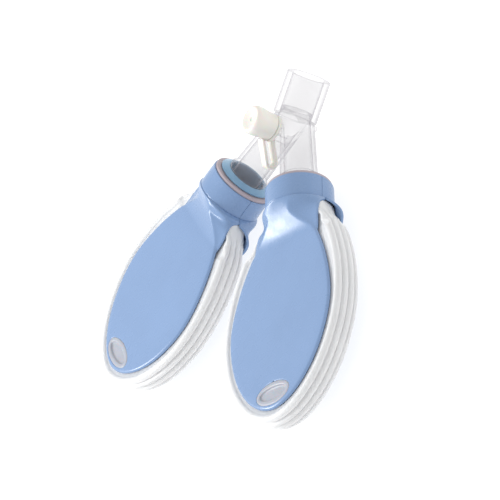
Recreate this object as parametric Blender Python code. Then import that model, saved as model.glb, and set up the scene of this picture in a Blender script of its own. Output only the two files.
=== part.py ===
"""Twin squeeze bellows on a clear Y connector, lying on its back.

Frame: +Z is the front face, +Y runs along the upright tube towards its mouth,
+X points to the right-hand bellows.  The origin is the middle of the footprint.
Each bellows has two blue shells, hinged at a crease, around a ribbed white bag.
"""
import math

import bmesh
import bpy
from mathutils import Vector

MM = 0.001
GAP = 0.3 * MM

# Clear Y connector: the three axes meet at the junction.
LIMB_SPREAD = math.radians(33.5)
LIMB_R_TOP = 8.2 * MM
LIMB_R_END = 9.4 * MM
LIMB_BORE_R_TOP = 6.4 * MM
LIMB_BORE_R_END = 7.6 * MM
LIMB_END = 56.0 * MM
HEM_R = 10.4 * MM
HEM_LENGTH = 2.2 * MM
SHOULDER_Y = -3.3 * MM
SPIGOT_R = 7.9 * MM
SPIGOT_BORE_R = 6.2 * MM
SPIGOT_TOP = 1.0 * MM
NUB_R = 1.3 * MM
NUB_REACH = 12.2 * MM
NUB_Y = -5.2 * MM
NUB_ANGLE = math.radians(-48.0)

# Upright connector tube, 22 mm outside.
NOZZLE_R = 11.0 * MM
NOZZLE_BORE_R = 8.2 * MM
NOZZLE_BOTTOM = -3.0 * MM
NOZZLE_TOP = 18.5 * MM
NOZZLE_LIP = 0.5 * MM

# Side port and its pull-off cap, on the front normal.
PORT_Y = -12.0 * MM
PORT_BOSS_R = 5.0 * MM
PORT_BOSS_TOP = 9.2 * MM
PORT_STUB_R = 3.2 * MM
PORT_STUB_TOP = 17.5 * MM
PORT_BORE_R = 2.0 * MM
CAP_R = 7.3 * MM
CAP_WAIST_R = 6.8 * MM
CAP_TOP = 24.0 * MM
CAP_BASE = 11.5 * MM
CAP_ROUND = 1.5 * MM
CAP_DIMPLE_R = 4.6 * MM
CAP_DIMPLE_DEPTH = 1.0 * MM
CAP_SOCKET_R = PORT_STUB_R + GAP
CAP_TRAVEL_CLEARANCE = 0.6 * MM
TETHER_RING_R = 6.8 * MM
STRAP_WIDTH = 4.6 * MM
STRAP_THICKNESS = 2.0 * MM
STRAP_LENGTH = 14.5 * MM
STRAP_LOOP_R = 2.6 * MM
STRAP_START_Y = -17.0 * MM
STRAP_START_Z = 15.1 * MM
STRAP_SLOPE = math.radians(33.0)

# Bellows unit, measured from its collar rim along its own axis.
RIM_DISTANCE = 46.2 * MM
BODY_BEND = math.radians(8.4)
BEND_START = 4.0 * MM
BEND_END = 24.0 * MM
COLLAR_R = 16.5 * MM
COLLAR_WALL = 1.9 * MM
COLLAR_END = 12.0 * MM
FLARE_SIDE_START = 11.2 * MM
FLARE_POWER = 1.7
FLARE_SIDE_POWER = 0.35
REAR_SIDE_BULGE = 5.0 * MM
SQUARENESS_PLATE = 6.0
ARCH_APEX = 13.0 * MM
ARCH_LENGTH = 9.0 * MM
CREASE = 30.5 * MM
CREASE_GAP = 0.15 * MM
FLARE_STATIONS = [v * MM for v in (6.0, 11.2, 11.9, 13.2, 14.6, 16.5, 19.0, 22.0, 26.0)]

PLATE_CENTRE = 67.5 * MM
PLATE_HALF_WIDTH = 36.4 * MM
PLATE_LOWER = 47.4 * MM
PLATE_UPPER = 57.0 * MM
PLATE_SQUARENESS_UPPER = 1.6
PLATE_SQUARENESS_LOWER = 1.86
PLATE_OUTLINE = (PLATE_HALF_WIDTH, PLATE_SQUARENESS_UPPER, PLATE_SQUARENESS_LOWER)
PLATE_FACE = 7.45 * MM
PLATE_WALL = 1.4 * MM
PLATE_EDGE_ROUND = 0.5 * MM

WINDOW_CENTRE = 106.9 * MM
WINDOW_HALF_WIDTH = 12.2 * MM
WINDOW_LOWER = 6.1 * MM
WINDOW_UPPER = 5.8 * MM
LUG_FACE = 7.45 * MM
LUG_RIM = 2.8 * MM
LUG_RECESS = 0.7 * MM

BAG_HALF_WIDTH = 37.7 * MM
BAG_SQUARENESS = 1.86
BAG_OUTLINE = (BAG_HALF_WIDTH, BAG_SQUARENESS, BAG_SQUARENESS)
BAG_FACE = 5.75 * MM
BAG_CREST = 6.7 * MM
BAG_WALL = 1.0 * MM
BAG_NECK_TOP = 3.3 * MM
BAG_NECK_CLEARANCE = 1.0 * MM
BAG_NECK_WALL = 1.3 * MM
THROAT_SIDE_FLAT = 0.4 * MM
BAG_FACE_INSET = 8.0 * MM
PLEAT_OFFSETS = (0.35, 1.4, 2.7, 4.0, 3.9, 2.4, 5.2, 5.2, 3.2)
PLEAT_HEIGHTS = (5.75, 6.5, 6.7, 5.9, 4.4, 3.5, 2.5, 1.1, 0.0)
PLEAT_THROAT_SHARE = 0.15
PLEAT_MIN_SCALE = 0.3
TIP_EXTRA = 1.2 * MM
BAG_INNER_OFFSET = 1.2 * MM

SEAL_R = 16.0 * MM
SEAL_INNER_R = 12.1 * MM
SEAL_TOP = -1.9 * MM
SEAL_SKIRT_END = 3.0 * MM
SLEEVE_R = 11.8 * MM
SLEEVE_BORE_R = 9.8 * MM
SLEEVE_END = 9.5 * MM
SLEEVE_HEAD_R = 13.9 * MM
SLEEVE_HEAD_TOP_R = 11.2 * MM
SLEEVE_HEAD_TOP = -4.6 * MM

# Place of the junction: the collars touch the ground, the footprint is centred.
MID_Z = COLLAR_R
BODY_ANGLE = LIMB_SPREAD - BODY_BEND
PLEAT_REACH = max(PLEAT_OFFSETS) * MM

ROUND_SEGMENTS = 32
SHELL_SEGMENTS = 14
OUTLINE_POINTS = 40
CAVITY_POINTS = 28
CAP_SEGMENTS = 28
STRAP_BEND_STEPS = 8
SMOOTH_ANGLE = math.radians(38.0)


def clear_scene():
    for obj in list(bpy.data.objects):
        bpy.data.objects.remove(obj, do_unlink=True)


def make_material(name, colour, roughness, alpha=1.0):
    material = bpy.data.materials.new(name)
    material.use_nodes = True
    shader = material.node_tree.nodes["Principled BSDF"]
    shader.inputs["Base Color"].default_value = (*colour, 1.0)
    shader.inputs["Roughness"].default_value = roughness
    shader.inputs["Metallic"].default_value = 0.0
    shader.inputs["Alpha"].default_value = alpha
    return material


def add_empty(name, parent=None, location=(0, 0, 0), turn=0.0):
    empty = bpy.data.objects.new(name, None)
    bpy.context.scene.collection.objects.link(empty)
    empty.parent = parent
    empty.location = location
    empty.rotation_euler = (0, 0, turn)
    return empty


def add_object(name, bm, parent, material=None):
    """Turn a bmesh into a named object with outward faces and smooth shading."""
    bmesh.ops.recalc_face_normals(bm, faces=bm.faces[:])
    mesh = bpy.data.meshes.new(name)
    bm.to_mesh(mesh)
    bm.free()
    mesh.shade_smooth()
    mesh.set_sharp_from_angle(angle=SMOOTH_ANGLE)
    obj = bpy.data.objects.new(name, mesh)
    bpy.context.scene.collection.objects.link(obj)
    obj.parent = parent
    if material:
        mesh.materials.append(material)
    return obj


def as_cutter(obj):
    obj.hide_render = True
    obj.display_type = 'WIRE'
    return obj


def combine(target, tool, operation):
    modifier = target.modifiers.new(operation.lower(), 'BOOLEAN')
    modifier.operation = operation
    modifier.solver = 'EXACT'
    modifier.object = as_cutter(tool)


def bridge(bm, loops, close_loops=True):
    """Join consecutive loops of vertices with quads."""
    for first, second in zip(loops, loops[1:]):
        count = len(first)
        last = count if close_loops else count - 1
        for i in range(last):
            j = (i + 1) % count
            bm.faces.new((first[i], first[j], second[j], second[i]))


def turned(profile, axis, segments=ROUND_SEGMENTS, closed=False, phase=0.0):
    """Revolve (radius, height) points about +Y or +Z; closed profiles make rings.

    The phase, in segments, keeps the facets of joined pieces from lining up.
    """
    bm = bmesh.new()
    loops = []
    for radius, height in profile:
        loop = []
        for i in range(segments):
            angle = 2 * math.pi * (i + phase) / segments
            c = radius * math.cos(angle)
            s = radius * math.sin(angle)
            place = (c, height, s) if axis == 'Y' else (c, s, height)
            loop.append(bm.verts.new(place))
        loops.append(loop)
    bridge(bm, loops)
    if closed:
        bridge(bm, [loops[-1], loops[0]])
    else:
        bm.faces.new(loops[0])
        bm.faces.new(loops[-1])
    return bm


def box(low, high):
    bm = bmesh.new()
    bmesh.ops.create_cube(bm, size=1.0)
    for vert in bm.verts:
        for axis in range(3):
            vert.co[axis] = high[axis] if vert.co[axis] > 0 else low[axis]
    return bm


def smoothstep(value, start, end):
    t = min(1.0, max(0.0, (value - start) / (end - start)))
    return t * t * (3 - 2 * t)


def unit_point(side, u, v, w):
    """Point of a bellows unit in its collar frame, with the bend of its axis."""
    angle = -side * BODY_BEND * smoothstep(v, BEND_START, BEND_END)
    x = side * u
    y = -v
    return Vector((
        x * math.cos(angle) - y * math.sin(angle),
        x * math.sin(angle) + y * math.cos(angle),
        w,
    ))


def shell_section(v, facing=1):
    """Half width, half height and squareness of a shell's outside at v; the rear one is wider."""
    side_t = max(0.0, (v - FLARE_SIDE_START) / (CREASE - FLARE_SIDE_START))
    face_t = max(0.0, (v - COLLAR_END) / (CREASE - COLLAR_END))
    side_t = min(1.0, side_t)
    face_t = min(1.0, face_t)
    crease_half_width = outline_half_width(CREASE, PLATE_OUTLINE)
    half_width = COLLAR_R + (crease_half_width - COLLAR_R) * side_t ** FLARE_SIDE_POWER
    if facing < 0:
        half_width += REAR_SIDE_BULGE * math.sin(math.pi * side_t)
    half_height = PLATE_FACE + (COLLAR_R - PLATE_FACE) * (1 - face_t) ** FLARE_POWER
    squareness = 2 + (SQUARENESS_PLATE - 2) * face_t
    return half_width, half_height, squareness


def shell_wall(v):
    return COLLAR_WALL + (PLATE_WALL - COLLAR_WALL) * smoothstep(v, COLLAR_END, CREASE)


def arch_height(v):
    """Height of the shell's lower edge above the middle plane."""
    t = min(1.0, max(0.0, 1 - (v - ARCH_APEX) / ARCH_LENGTH))
    return max(GAP / 2, (PLATE_FACE - PLATE_WALL) * math.sqrt(1 - t * t))


def section_points(half_width, half_height, squareness, edge, count):
    """Arc of a superellipse from one side to the other, above the edge height."""
    start = math.asin(min(1.0, edge / half_height) ** (squareness / 2))
    points = []
    for i in range(count + 1):
        angle = start + (math.pi - 2 * start) * i / count
        c = math.cos(angle)
        u = math.copysign(abs(c) ** (2 / squareness), c) * half_width
        w = math.sin(angle) ** (2 / squareness) * half_height
        points.append((u, w))
    return points


def signed_power(value, power):
    return math.copysign(abs(value) ** power, value)


def outline_half_width(v, outline):
    half_width, upper_squareness, lower_squareness = outline
    semi = PLATE_UPPER if v < PLATE_CENTRE else PLATE_LOWER
    squareness = upper_squareness if v < PLATE_CENTRE else lower_squareness
    share = min(1.0, abs(v - PLATE_CENTRE) / semi)
    return half_width * (1 - share ** squareness) ** (1 / squareness)


def outline_point(angle, offset, outline):
    """Point of the plates' or the bag's outline, moved out along its normal or scaled inwards."""
    half_width, upper_squareness, lower_squareness = outline
    across = math.cos(angle)
    along = math.sin(angle)
    semi = PLATE_LOWER if along > 0 else PLATE_UPPER
    squareness = lower_squareness if along > 0 else upper_squareness
    power = 2 / squareness
    u = half_width * signed_power(across, power)
    v = PLATE_CENTRE + semi * signed_power(along, power)
    if offset < 0:
        inwards_v = (v - PLATE_CENTRE) * (1 + offset / semi)
        return u * (1 + offset / half_width), PLATE_CENTRE + inwards_v
    slope_power = power * (squareness - 1)
    normal = Vector((
        signed_power(across, slope_power) / half_width,
        signed_power(along, slope_power) / semi,
    )).normalized()
    return u + normal.x * offset, v + normal.y * offset


def bag_point(angle, offset):
    """Point on the bag's outline; its pleats are full at the tip and slight in the throat."""
    base_v = outline_point(angle, 0.0, BAG_OUTLINE)[1]
    in_throat = 1 - smoothstep(base_v, ARCH_APEX, ARCH_APEX + ARCH_LENGTH)
    if offset > 0:
        offset *= 1 - in_throat * (1 - PLEAT_THROAT_SHARE)
    offset += TIP_EXTRA * max(0.0, math.sin(angle)) ** 2
    return outline_point(angle, offset, BAG_OUTLINE)


def junction_y():
    """Centres the footprint between the tube's mouth and the lowest pleat."""
    lowest = 0.0
    for i in range(OUTLINE_POINTS):
        angle = 2 * math.pi * i / OUTLINE_POINTS
        u, v = bag_point(angle, PLEAT_REACH)
        y = -RIM_DISTANCE * math.cos(LIMB_SPREAD)
        y += u * math.sin(BODY_ANGLE) - v * math.cos(BODY_ANGLE)
        lowest = min(lowest, y)
    return -(NOZZLE_TOP + lowest) / 2


def oval_points(growth, count=ROUND_SEGMENTS):
    """Outline of the window near the plate's tip, flatter on its upper side."""
    points = []
    for i in range(count):
        angle = 2 * math.pi * i / count
        semi = (WINDOW_LOWER if math.sin(angle) > 0 else WINDOW_UPPER) + growth
        u = (WINDOW_HALF_WIDTH + growth) * math.cos(angle)
        points.append((u, WINDOW_CENTRE + semi * math.sin(angle)))
    return points


def prism(points, low, high):
    """Straight-sided solid on a plan outline of (x, y) points."""
    bm = bmesh.new()
    loops = [[bm.verts.new((x, y, z)) for x, y in points] for z in (low, high)]
    bridge(bm, loops)
    bm.faces.new(loops[0])
    bm.faces.new(loops[1])
    return bm


def neck_shell(name, side, facing, parent, material):
    """Half collar and flare of one shell, down to the crease."""
    stations = [0.0] + FLARE_STATIONS + [CREASE - CREASE_GAP]
    bm = bmesh.new()
    outer = []
    inner = []
    for v in stations:
        half_width, half_height, squareness = shell_section(v, facing)
        wall = shell_wall(v)
        edge = arch_height(v)
        outside = section_points(half_width, half_height, squareness, edge, SHELL_SEGMENTS)
        inside = section_points(half_width - wall, half_height - wall, squareness,
                                min(edge, (half_height - wall) * 0.9), SHELL_SEGMENTS)
        outer.append([bm.verts.new(unit_point(side, u, v, facing * w)) for u, w in outside])
        inner.append([bm.verts.new(unit_point(side, u, v, facing * w)) for u, w in inside])
    bridge(bm, outer, close_loops=False)
    bridge(bm, inner, close_loops=False)
    bridge(bm, [outer[0], inner[0]], close_loops=False)
    bridge(bm, [outer[-1], inner[-1]], close_loops=False)
    for edge_index in (0, -1):
        rim_out = [row[edge_index] for row in outer]
        rim_in = [row[edge_index] for row in inner]
        bridge(bm, [rim_out, rim_in], close_loops=False)
    return add_object(name, bm, parent, material)


def plate_outline(offset):
    """Plate outline from the crease round the tip and back, in hinge coordinates."""
    crease_share = (PLATE_CENTRE - CREASE - CREASE_GAP) / PLATE_UPPER
    start = -math.asin(crease_share ** (PLATE_SQUARENESS_UPPER / 2))
    points = []
    for i in range(OUTLINE_POINTS + 1):
        angle = start + (math.pi - 2 * start) * i / OUTLINE_POINTS
        u, v = outline_point(angle, offset, PLATE_OUTLINE)
        points.append((u, max(v, CREASE + CREASE_GAP) - CREASE))
    return points


def plate(name, side, facing, parent, material):
    """Flat paddle with a rounded edge and an oval window near its tip."""
    rings = (
        (0.0, -PLATE_WALL),
        (0.0, -PLATE_EDGE_ROUND),
        (-PLATE_EDGE_ROUND, 0.0),
    )
    bm = bmesh.new()
    loops = []
    for offset, height in rings:
        points = plate_outline(offset)
        loops.append([bm.verts.new((side * u, -v, facing * height)) for u, v in points])
    bridge(bm, loops)
    bm.faces.new(loops[0])
    bm.faces.new(loops[-1])
    obj = add_object(name, bm, parent, material)
    points = [(side * u, CREASE - v) for u, v in oval_points(0.0)]
    window = add_object(name + "_window_cutter", prism(points, -3 * PLATE_WALL, 3 * PLATE_WALL), obj)
    combine(obj, window, 'DIFFERENCE')
    return obj


def lug(name, side, facing, parent, material):
    """Oval stud of the bag in the plate's window, with a recessed floor."""
    levels = (
        (-GAP, -PLATE_WALL),
        (-GAP, LUG_FACE - PLATE_FACE),
        (-LUG_RIM, LUG_FACE - PLATE_FACE),
        (-LUG_RIM - 0.3 * MM, LUG_FACE - PLATE_FACE - LUG_RECESS),
    )
    bm = bmesh.new()
    loops = []
    for growth, height in levels:
        points = [(side * u, CREASE - v, facing * height) for u, v in oval_points(growth)]
        loops.append([bm.verts.new(point) for point in points])
    bridge(bm, loops)
    bm.faces.new(loops[0])
    bm.faces.new(loops[-1])
    return add_object(name, bm, parent, material)


def pleat_scale(v):
    """Shrinks the pleats' height where they run in under the arch."""
    under_arch = max(PLEAT_MIN_SCALE, (arch_height(v) - 2 * GAP) / BAG_CREST)
    blend = smoothstep(v, CREASE - 4 * MM, CREASE + 2 * MM)
    return under_arch * (1 - blend) + blend


def bag_solid(name, side, parent, offsets, heights, inset, points, material=None):
    """Pleated cushion on the plate outline, symmetric about the middle plane."""
    bm = bmesh.new()
    upper = [(-inset, heights[0])] + list(zip(offsets, heights))
    lower = [(offset, -height) for offset, height in reversed(upper[:-1])]
    loops = []
    for offset, height in upper + lower:
        loop = []
        for i in range(points):
            angle = 2 * math.pi * i / points
            u, v = bag_point(angle, offset)
            loop.append(bm.verts.new(unit_point(side, u, v, height * pleat_scale(v))))
        loops.append(loop)
    bridge(bm, loops)
    for loop, height in ((loops[0], heights[0]), (loops[-1], -heights[0])):
        centre = bm.verts.new(unit_point(side, 0.0, PLATE_CENTRE, height))
        for i in range(points):
            bm.faces.new((loop[i], loop[(i + 1) % points], centre))
    return add_object(name, bm, parent, material)


def bag_neck(name, side, parent, shrink, start, end):
    """Round throat of the bag, changing to a flat section inside the shells."""
    stations = [start] + FLARE_STATIONS + [end]
    bm = bmesh.new()
    loops = []
    for v in stations:
        half_width, half_height, squareness = shell_section(v)
        inset = shell_wall(v) + BAG_NECK_CLEARANCE + shrink
        half = section_points(half_width - inset, half_height - inset, squareness,
                              THROAT_SIDE_FLAT, SHELL_SEGMENTS - 1)
        loop = half + [(u, -w) for u, w in reversed(half)]
        loops.append([bm.verts.new(unit_point(side, u, v, w)) for u, w in loop])
    bridge(bm, loops)
    bm.faces.new(loops[0])
    bm.faces.new(loops[-1])
    return add_object(name, bm, parent)


def bellows(name, side, parent, material):
    """Hollow ribbed bag, open at its throat."""
    offsets = [value * MM for value in PLEAT_OFFSETS]
    heights = [value * MM for value in PLEAT_HEIGHTS]
    bag = bag_solid(name, side, parent, offsets, heights, BAG_FACE_INSET, OUTLINE_POINTS, material)
    throat = bag_neck(name + "_throat_tool", side, parent, 0.0, BAG_NECK_TOP, CREASE + 4 * MM)
    combine(bag, throat, 'UNION')
    inner_height = BAG_FACE - BAG_WALL
    cavity = bag_solid(name + "_cavity_cutter", side, parent,
                       (0.0, BAG_INNER_OFFSET, BAG_INNER_OFFSET), (inner_height, 0.6 * inner_height, 0.0),
                       BAG_FACE_INSET, CAVITY_POINTS)
    bore = bag_neck(name + "_bore_cutter", side, parent, BAG_NECK_WALL, BAG_NECK_TOP - 2 * MM,
                    CREASE + 2 * MM)
    combine(bag, cavity, 'DIFFERENCE')
    combine(bag, bore, 'DIFFERENCE')
    return bag


def seal_ring(name, parent, material):
    profile = (
        (SEAL_INNER_R, -SEAL_TOP),
        (SEAL_R - 0.4 * MM, -SEAL_TOP),
        (SEAL_R, -SEAL_TOP - 0.4 * MM),
        (SEAL_R, GAP),
        (COLLAR_R - COLLAR_WALL - GAP, GAP),
        (COLLAR_R - COLLAR_WALL - GAP, -SEAL_SKIRT_END),
        (SEAL_INNER_R, -SEAL_SKIRT_END),
    )
    return add_object(name, turned(profile, 'Y', closed=True), parent, material)


def adapter_ring(name, parent, material):
    head_base = -SEAL_TOP + GAP
    profile = (
        (SLEEVE_BORE_R, -SLEEVE_END),
        (SLEEVE_BORE_R, -SLEEVE_HEAD_TOP),
        (SLEEVE_HEAD_TOP_R, -SLEEVE_HEAD_TOP),
        (SLEEVE_HEAD_R, head_base + 0.8 * MM),
        (SLEEVE_HEAD_R, head_base),
        (SLEEVE_R, head_base),
        (SLEEVE_R, -SLEEVE_END),
    )
    return add_object(name, turned(profile, 'Y', closed=True), parent, material)


def limb_tool(name, side, parent, radii, end, phase, hem=False):
    """Tapered rod along one limb's axis, with an optional bead above its collar."""
    top_r, end_r = radii
    profile = [(top_r, 0.0)]
    if hem:
        low = RIM_DISTANCE + SLEEVE_HEAD_TOP - GAP
        high = low - HEM_LENGTH
        taper_r = top_r + (end_r - top_r) * high / RIM_DISTANCE
        profile += [(taper_r, -high), (HEM_R, -high - 0.4 * MM), (HEM_R, -low), (end_r, -low)]
    profile += [(end_r, -RIM_DISTANCE), (end_r, -end)]
    tool = add_object(name, turned(profile, 'Y', phase=phase), parent)
    tool.rotation_euler = (0, 0, side * LIMB_SPREAD)
    return tool


def limb_pair(name, parent, radii, end, phases, hem=False):
    """Both limbs' rods as one tool."""
    left = limb_tool("left_" + name, -1, parent, radii, end, phases[0], hem)
    right = limb_tool("right_" + name, 1, parent, radii, end, phases[1], hem)
    combine(left, right, 'UNION')
    return left


def y_body(parent, material):
    """Hub with two limbs, a spigot for the tube, a side port and a small nub."""
    profile = ((SPIGOT_R, NOZZLE_BOTTOM - 6 * MM), (SPIGOT_R, SPIGOT_TOP))
    body = add_object("y_body", turned(profile, 'Y', phase=0.21), parent, material)
    arms = limb_pair("limb_tool", parent, (LIMB_R_TOP, LIMB_R_END), LIMB_END, (0.3, 0.3), hem=True)
    above = box((-30 * MM, SHOULDER_Y, -20 * MM), (30 * MM, 30 * MM, 20 * MM))
    combine(arms, add_object("shoulder_cutter", above, parent), 'DIFFERENCE')
    combine(body, arms, 'UNION')
    stub_profile = (
        (PORT_BOSS_R, 0.2 * MM),
        (PORT_BOSS_R, PORT_BOSS_TOP),
        (PORT_STUB_R, PORT_BOSS_TOP),
        (PORT_STUB_R, PORT_STUB_TOP),
    )
    port = add_object("port_tool", turned(stub_profile, 'Z', 20, phase=0.37), parent)
    port.location.y = PORT_Y
    combine(body, port, 'UNION')
    nub_profile = ((NUB_R, 1 * MM), (NUB_R, NUB_REACH))
    nub = add_object("nub_tool", turned(nub_profile, 'Z', 10, phase=0.33), parent)
    nub.location.y = NUB_Y
    nub.rotation_euler = (0, math.pi / 2 - NUB_ANGLE, 0)
    combine(body, nub, 'UNION')
    bores = limb_pair("bore_cutter", parent, (LIMB_BORE_R_TOP, LIMB_BORE_R_END),
                      LIMB_END + 2 * MM, (0.6, 0.55))
    combine(body, bores, 'DIFFERENCE')
    throat = turned(((SPIGOT_BORE_R, -8.3 * MM), (SPIGOT_BORE_R, SPIGOT_TOP + 2 * MM)), 'Y', phase=0.43)
    combine(body, add_object("throat_cutter", throat, parent), 'DIFFERENCE')
    drill = turned(((PORT_BORE_R, 0.6 * MM), (PORT_BORE_R, PORT_STUB_TOP + 2 * MM)), 'Z', 16, phase=0.27)
    drill_tool = add_object("port_bore_cutter", drill, parent)
    drill_tool.location.y = PORT_Y
    combine(body, drill_tool, 'DIFFERENCE')
    return body


def nozzle_tube(parent, material):
    profile = (
        (NOZZLE_BORE_R, NOZZLE_BOTTOM),
        (NOZZLE_BORE_R, NOZZLE_TOP),
        (NOZZLE_R - NOZZLE_LIP, NOZZLE_TOP),
        (NOZZLE_R, NOZZLE_TOP - NOZZLE_LIP),
        (NOZZLE_R, NOZZLE_BOTTOM),
    )
    return add_object("nozzle_tube", turned(profile, 'Y', 40, closed=True), parent, material)


def port_cap(parent, material):
    """Hollow cap on the port, with a dimpled end."""
    ceiling = PORT_STUB_TOP + CAP_TRAVEL_CLEARANCE
    profile = (
        (CAP_SOCKET_R, ceiling),
        (CAP_SOCKET_R, CAP_BASE),
        (CAP_WAIST_R, CAP_BASE),
        (CAP_R, CAP_TOP - 5 * MM),
        (CAP_R, CAP_TOP - CAP_ROUND),
        (CAP_R - 0.3 * CAP_ROUND, CAP_TOP - 0.3 * CAP_ROUND),
        (CAP_R - CAP_ROUND, CAP_TOP),
        (CAP_DIMPLE_R, CAP_TOP - 0.1 * MM),
        (0.4 * CAP_DIMPLE_R, CAP_TOP - CAP_DIMPLE_DEPTH),
    )
    cap = add_object("port_cap", turned(profile, 'Z', CAP_SEGMENTS), parent, material)
    cap.location.y = PORT_Y
    return cap


def strap_path():
    """Middle line of the tether in the YZ plane: down, round a bend and back up."""
    down = Vector((-math.cos(STRAP_SLOPE), -math.sin(STRAP_SLOPE)))
    across = Vector((-down.y, down.x))
    start = Vector((STRAP_START_Y, STRAP_START_Z))
    bend_centre = start + down * STRAP_LENGTH + across * STRAP_LOOP_R
    points = [start]
    for i in range(STRAP_BEND_STEPS + 1):
        angle = math.pi * i / STRAP_BEND_STEPS
        turn = down * math.sin(angle) - across * math.cos(angle)
        points.append(bend_centre + turn * STRAP_LOOP_R)
    points.append(start + across * 2 * STRAP_LOOP_R + down * 2 * MM)
    return points


def cap_tether(parent, material):
    """Ring round the port's stub with a folded strap that reaches up to the cap."""
    low = PORT_BOSS_TOP + GAP
    high = CAP_BASE - GAP
    profile = (
        (CAP_SOCKET_R, low),
        (CAP_SOCKET_R, high),
        (TETHER_RING_R, high),
        (TETHER_RING_R, low),
    )
    ring_mesh = turned(profile, 'Z', CAP_SEGMENTS, closed=True, phase=0.4)
    ring = add_object("cap_tether", ring_mesh, parent, material)
    ring.location.y = PORT_Y
    bm = bmesh.new()
    path = strap_path()
    loops = []
    for i, point in enumerate(path):
        ahead = path[min(i + 1, len(path) - 1)] - path[max(i - 1, 0)]
        normal = Vector((-ahead.y, ahead.x)).normalized() * STRAP_THICKNESS / 2
        half = STRAP_WIDTH / 2
        above = point + normal
        below = point - normal
        corners = ((half, above), (-half, above), (-half, below), (half, below))
        loops.append([bm.verts.new((x, place.x, place.y)) for x, place in corners])
    bridge(bm, loops)
    bm.faces.new(loops[0])
    bm.faces.new(loops[-1])
    strap = add_object("strap_tool", bm, parent)
    clear_profile = ((CAP_R + GAP, CAP_BASE - GAP), (CAP_R + GAP, CAP_TOP))
    clear = add_object("cap_clearance_cutter", turned(clear_profile, 'Z', CAP_SEGMENTS), parent)
    stub = turned(((CAP_SOCKET_R, 0.0), (CAP_SOCKET_R, CAP_TOP)), 'Z', CAP_SEGMENTS, phase=0.2)
    stub_cutter = add_object("stub_clearance_cutter", stub, parent)
    boss = turned(((PORT_BOSS_R + GAP, 0.0), (PORT_BOSS_R + GAP, low)), 'Z', CAP_SEGMENTS, phase=0.3)
    boss_cutter = add_object("boss_clearance_cutter", boss, parent)
    for cutter in (clear, stub_cutter, boss_cutter):
        cutter.location.y = PORT_Y
        combine(strap, cutter, 'DIFFERENCE')
    combine(ring, strap, 'UNION')
    return ring


def bellows_unit(word, side, root, looks):
    """One complete unit: collar pieces, bag, and the two hinged plates."""
    rim = (side * RIM_DISTANCE * math.sin(LIMB_SPREAD), -RIM_DISTANCE * math.cos(LIMB_SPREAD), 0)
    collar = add_empty(word + "_collar_frame", root, rim, side * LIMB_SPREAD)
    body = add_empty(word + "_body_frame", collar, (0, 0, 0), -side * BODY_BEND)
    adapter_ring(word + "_adapter_ring", collar, looks["adapter"])
    seal_ring(word + "_seal_ring", collar, looks["seal"])
    bellows(word + "_bellows", side, collar, looks["bag"])
    for face, facing in (("front", 1), ("rear", -1)):
        prefix = word + "_" + face
        neck_shell(prefix + "_neck_shell", side, facing, collar, looks["shell"])
        hinge = add_empty(prefix + "_hinge_line", body, (0, -CREASE, facing * PLATE_FACE))
        plate(prefix + "_plate", side, facing, hinge, looks["shell"])
        lug(prefix + "_lug", side, facing, hinge, looks["lug"])


def main():
    clear_scene()
    looks = {
        "shell": make_material("blue_shell_plastic", (0.30, 0.44, 0.68), 0.38),
        "bag": make_material("white_bag_rubber", (0.80, 0.79, 0.80), 0.5),
        "seal": make_material("grey_seal_rubber", (0.43, 0.37, 0.41), 0.5),
        "adapter": make_material("light_blue_plastic", (0.20, 0.42, 0.66), 0.3),
        "lug": make_material("pale_lug_rubber", (0.58, 0.60, 0.64), 0.5),
        "clear": make_material("clear_plastic", (0.85, 0.84, 0.86), 0.08, 0.35),
        "cap": make_material("white_cap_plastic", (0.86, 0.85, 0.80), 0.4),
    }
    root = add_empty("junction_frame", None, (0, junction_y(), MID_Z))
    y_body(root, looks["clear"])
    nozzle_tube(root, looks["clear"])
    port_cap(root, looks["cap"])
    cap_tether(root, looks["cap"])
    for word, side in (("left", -1), ("right", 1)):
        bellows_unit(word, side, root, looks)


main()
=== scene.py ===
"""Looks of the twin squeeze bellows: blue shells, ribbed white bags and a clear Y connector.

Shapes are written in millimetres in two frames.  The junction frame is the CAD
frame moved to where the Y connector's axes meet.  A unit's frame is its collar:
u runs across, v down from the collar's rim and w out of the front face, with
side -1 for the left bellows and 1 for the right.
"""
import math

import bmesh
import bpy
from mathutils import Matrix, Vector


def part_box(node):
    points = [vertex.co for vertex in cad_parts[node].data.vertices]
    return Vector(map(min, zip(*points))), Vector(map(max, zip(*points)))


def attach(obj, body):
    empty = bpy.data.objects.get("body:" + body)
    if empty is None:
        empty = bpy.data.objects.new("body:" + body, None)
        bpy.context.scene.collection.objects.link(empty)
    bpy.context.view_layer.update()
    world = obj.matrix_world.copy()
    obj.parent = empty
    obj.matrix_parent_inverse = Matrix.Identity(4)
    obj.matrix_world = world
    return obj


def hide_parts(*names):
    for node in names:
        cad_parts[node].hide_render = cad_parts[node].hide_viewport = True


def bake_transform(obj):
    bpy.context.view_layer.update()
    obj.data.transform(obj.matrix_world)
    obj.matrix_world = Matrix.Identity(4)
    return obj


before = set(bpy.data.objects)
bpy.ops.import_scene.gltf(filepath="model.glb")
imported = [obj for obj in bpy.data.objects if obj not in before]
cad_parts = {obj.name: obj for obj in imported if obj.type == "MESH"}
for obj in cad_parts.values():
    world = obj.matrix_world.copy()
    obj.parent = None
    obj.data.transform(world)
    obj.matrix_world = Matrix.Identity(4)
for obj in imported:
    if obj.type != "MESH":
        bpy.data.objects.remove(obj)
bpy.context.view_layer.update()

MM = 0.001
SIDES = (("left", -1), ("right", 1))
FACES = (("front", 1), ("rear", -1))

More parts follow.
